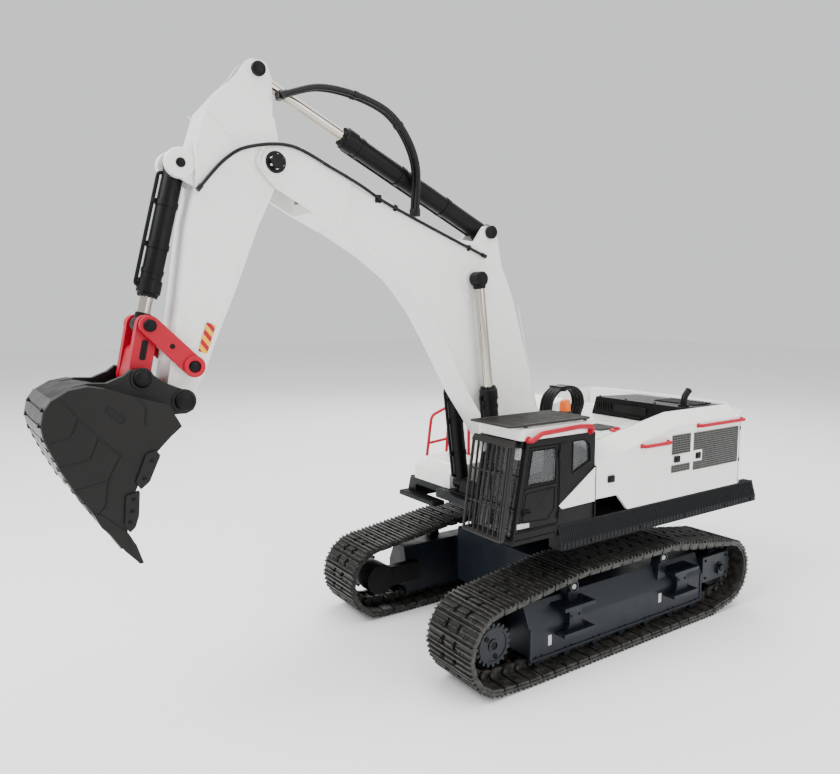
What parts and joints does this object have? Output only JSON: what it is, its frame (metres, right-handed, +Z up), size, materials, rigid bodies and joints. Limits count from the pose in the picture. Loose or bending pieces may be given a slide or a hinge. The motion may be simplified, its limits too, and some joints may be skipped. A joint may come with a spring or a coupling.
{
  "type": "rc excavator",
  "caption": "Large radio-controlled crawler excavator: slewing house with cab, bent boom, arm and curling bucket on hydraulic-style rams, all on two tracks.",
  "frame": {"origin": "middle of the whole machine's footprint box, on the ground plane under the tracks", "axes": "+Z up, -Y the way the cab, boom and bucket face, +X the cab side"},
  "size_m": [0.298, 0.8118, 0.602],
  "materials": {
    "white_shell": "satin",
    "white_boom": "satin",
    "red_trim": "satin",
    "black_plastic": "satin",
    "dark_steps": "satin",
    "frame_grey": "satin",
    "track_shoe": "satin",
    "drive_metal": "satin",
    "bucket_paint": "satin",
    "rod_chrome": "polished",
    "hose_rubber": "satin",
    "seat_vinyl": "matte",
    "smoked_glass": "gloss",
    "amber_lens": "gloss",
    "circuit_board": "matte",
    "battery_wrap": "satin",
    "motor_can": "satin"
  },
  "bodies": {
    "undercarriage": {"car_body": "frame_grey", "slew_ring": "drive_metal", "left_track_frame": "frame_grey", "left_track_chain": "track_shoe", "left_idler_yoke": "frame_grey", "left_travel_motor": "motor_can", "right_track_frame": "frame_grey", "right_track_chain": "track_shoe", "right_idler_yoke": "frame_grey", "right_travel_motor": "motor_can"},
    "left_sprocket": {"left_sprocket": "drive_metal"},
    "right_sprocket": {"right_sprocket": "drive_metal"},
    "left_idler": {"left_idler": "drive_metal"},
    "right_idler": {"right_idler": "drive_metal"},
    "house": {"deck": "dark_steps", "boom_bracket": "black_plastic", "slew_motor": "motor_can", "battery_pack": "battery_wrap", "control_board": "circuit_board", "left_body_shell": "white_shell", "right_body_shell": "white_shell", "centre_cover": "black_plastic", "counterweight": "white_shell", "right_front_box": "white_shell", "cab_shell": "black_plastic", "windshield": "smoked_glass", "operator_seat": "seat_vinyl", "cab_roof": "white_shell", "roof_guard": "black_plastic", "front_guard": "black_plastic", "cab_corner_panel": "white_shell", "rail_cab_roof": "red_trim", "rail_left_front": "red_trim", "rail_left_rear": "red_trim", "rail_right_ladder": "red_trim", "rail_right_inner": "red_trim", "beacon_post": "black_plastic", "beacon": "amber_lens", "hose_arch": "hose_rubber"},
    "slew_pinion": {"slew_pinion": "drive_metal"},
    "hood": {"engine_hood": "black_plastic", "exhaust_pipe": "black_plastic"},
    "cab_door": {"cab_door": "black_plastic", "door_window": "smoked_glass"},
    "boom": {"boom": "white_boom", "arm_hoses": "hose_rubber", "bucket_hose": "hose_rubber"},
    "boom_ram_barrels": {"left_boom_ram_barrel": "black_plastic", "right_boom_ram_barrel": "black_plastic"},
    "boom_ram_rods": {"left_boom_ram_rod": "rod_chrome", "right_boom_ram_rod": "rod_chrome"},
    "arm": {"arm": "white_boom"},
    "arm_ram_barrel": {"arm_ram_barrel": "black_plastic"},
    "arm_ram_rod": {"arm_ram_rod": "rod_chrome"},
    "bucket": {"bucket": "bucket_paint"},
    "bucket_lever": {"bucket_lever": "red_trim"},
    "bucket_link": {"bucket_link": "red_trim"},
    "bucket_ram_barrel": {"bucket_ram_barrel": "black_plastic"},
    "bucket_ram_rod": {"bucket_ram_rod": "rod_chrome"}
  },
  "joints": [
    {"name": "slew", "type": "hinge", "parent": "undercarriage", "child": "house", "pos_m": [0, 0.1589, 0.112], "axis": [0, 0, 1], "continuous": true},
    {"name": "slew_pinion_spin", "type": "hinge", "parent": "house", "child": "slew_pinion", "pos_m": [0, 0.2129, 0.106], "axis": [0, 0, 1], "continuous": true},
    {"name": "left_sprocket_spin", "type": "hinge", "parent": "undercarriage", "child": "left_sprocket", "pos_m": [0.118, -0.0261, 0.047], "axis": [1, 0, 0], "continuous": true},
    {"name": "left_idler_spin", "type": "hinge", "parent": "undercarriage", "child": "left_idler", "pos_m": [0.115, 0.3439, 0.049], "axis": [1, 0, 0], "continuous": true},
    {"name": "right_sprocket_spin", "type": "hinge", "parent": "undercarriage", "child": "right_sprocket", "pos_m": [-0.118, -0.0261, 0.047], "axis": [1, 0, 0], "continuous": true},
    {"name": "right_idler_spin", "type": "hinge", "parent": "undercarriage", "child": "right_idler", "pos_m": [-0.115, 0.3439, 0.049], "axis": [1, 0, 0], "continuous": true},
    {"name": "boom_lift", "type": "hinge", "parent": "house", "child": "boom", "pos_m": [0, 0.1209, 0.18], "axis": [1, 0, 0], "range_deg": [-20, 28]},
    {"name": "boom_ram_tilt", "type": "hinge", "parent": "house", "child": "boom_ram_barrels", "pos_m": [0, 0.0599, 0.168], "axis": [1, 0, 0], "range_deg": [-20.48, 28.68]},
    {"name": "boom_ram_slide", "type": "slide", "parent": "boom_ram_barrels", "child": "boom_ram_rods", "axis": [0, -0.1225, 0.9925], "range_m": [-0.03001, 0.02143]},
    {"name": "arm_swing", "type": "hinge", "parent": "boom", "child": "arm", "pos_m": [0, -0.2021, 0.511], "axis": [1, 0, 0], "range_deg": [-25, 30], "deforming": ["arm_hoses", "bucket_hose"]},
    {"name": "arm_ram_tilt", "type": "hinge", "parent": "boom", "child": "arm_ram_barrel", "pos_m": [0, 0.0609, 0.464], "axis": [1, 0, 0], "range_deg": [-3.85, 4.62]},
    {"name": "arm_ram_slide", "type": "slide", "parent": "arm_ram_barrel", "child": "arm_ram_rod", "axis": [0, -0.9041, 0.4272], "range_m": [-0.02989, 0.03587]},
    {"name": "bucket_curl", "type": "hinge", "parent": "arm", "child": "bucket", "pos_m": [0, -0.2931, 0.301], "axis": [1, 0, 0], "range_deg": [-20, 90]},
    {"name": "bucket_lever_swing", "type": "hinge", "parent": "arm", "child": "bucket_lever", "pos_m": [0, -0.2821, 0.33], "axis": [1, 0, 0], "range_deg": [-16.16, 72.71]},
    {"name": "bucket_link_swing", "type": "hinge", "parent": "bucket_lever", "child": "bucket_link", "pos_m": [0, -0.3181, 0.366], "axis": [1, 0, 0], "range_deg": [-44.23, 9.83]},
    {"name": "bucket_ram_tilt", "type": "hinge", "parent": "arm", "child": "bucket_ram_barrel", "pos_m": [0, -0.2841, 0.504], "axis": [1, 0, 0], "range_deg": [-1.04, 0.23]},
    {"name": "bucket_ram_slide", "type": "slide", "parent": "bucket_ram_barrel", "child": "bucket_ram_rod", "axis": [0, -0.2392, -0.971], "range_m": [-0.01281, 0.05765]},
    {"name": "cab_door_hinge", "type": "hinge", "parent": "house", "child": "cab_door", "pos_m": [0.1373, 0.0533, 0.2], "axis": [0, 0, 1], "range_deg": [0, 80]},
    {"name": "hood_hinge", "type": "hinge", "parent": "house", "child": "hood", "pos_m": [0.04, 0.3724, 0.2586], "axis": [-1, 0, 0], "range_deg": [0, 70]}
  ],
  "couplings": [
    {"joint": "slew_pinion_spin", "follows": "slew", "ratio": 4},
    {"joint": "left_idler_spin", "follows": "left_sprocket_spin", "ratio": 1.125},
    {"joint": "right_idler_spin", "follows": "right_sprocket_spin", "ratio": 1.125},
    {"joint": "boom_ram_tilt", "follows": "boom_lift", "ratio": 1.0041},
    {"joint": "boom_ram_slide", "follows": "boom_lift", "m_per_rad": -0.0602},
    {"joint": "arm_ram_tilt", "follows": "arm_swing", "ratio": 0.151},
    {"joint": "arm_ram_slide", "follows": "arm_swing", "m_per_rad": 0.06717},
    {"joint": "bucket_lever_swing", "follows": "bucket_curl", "ratio": 0.7921},
    {"joint": "bucket_link_swing", "follows": "bucket_curl", "ratio": -0.4818},
    {"joint": "bucket_ram_tilt", "follows": "bucket_curl", "ratio": -0.011},
    {"joint": "bucket_ram_slide", "follows": "bucket_curl", "m_per_rad": 0.03598}
  ]
}
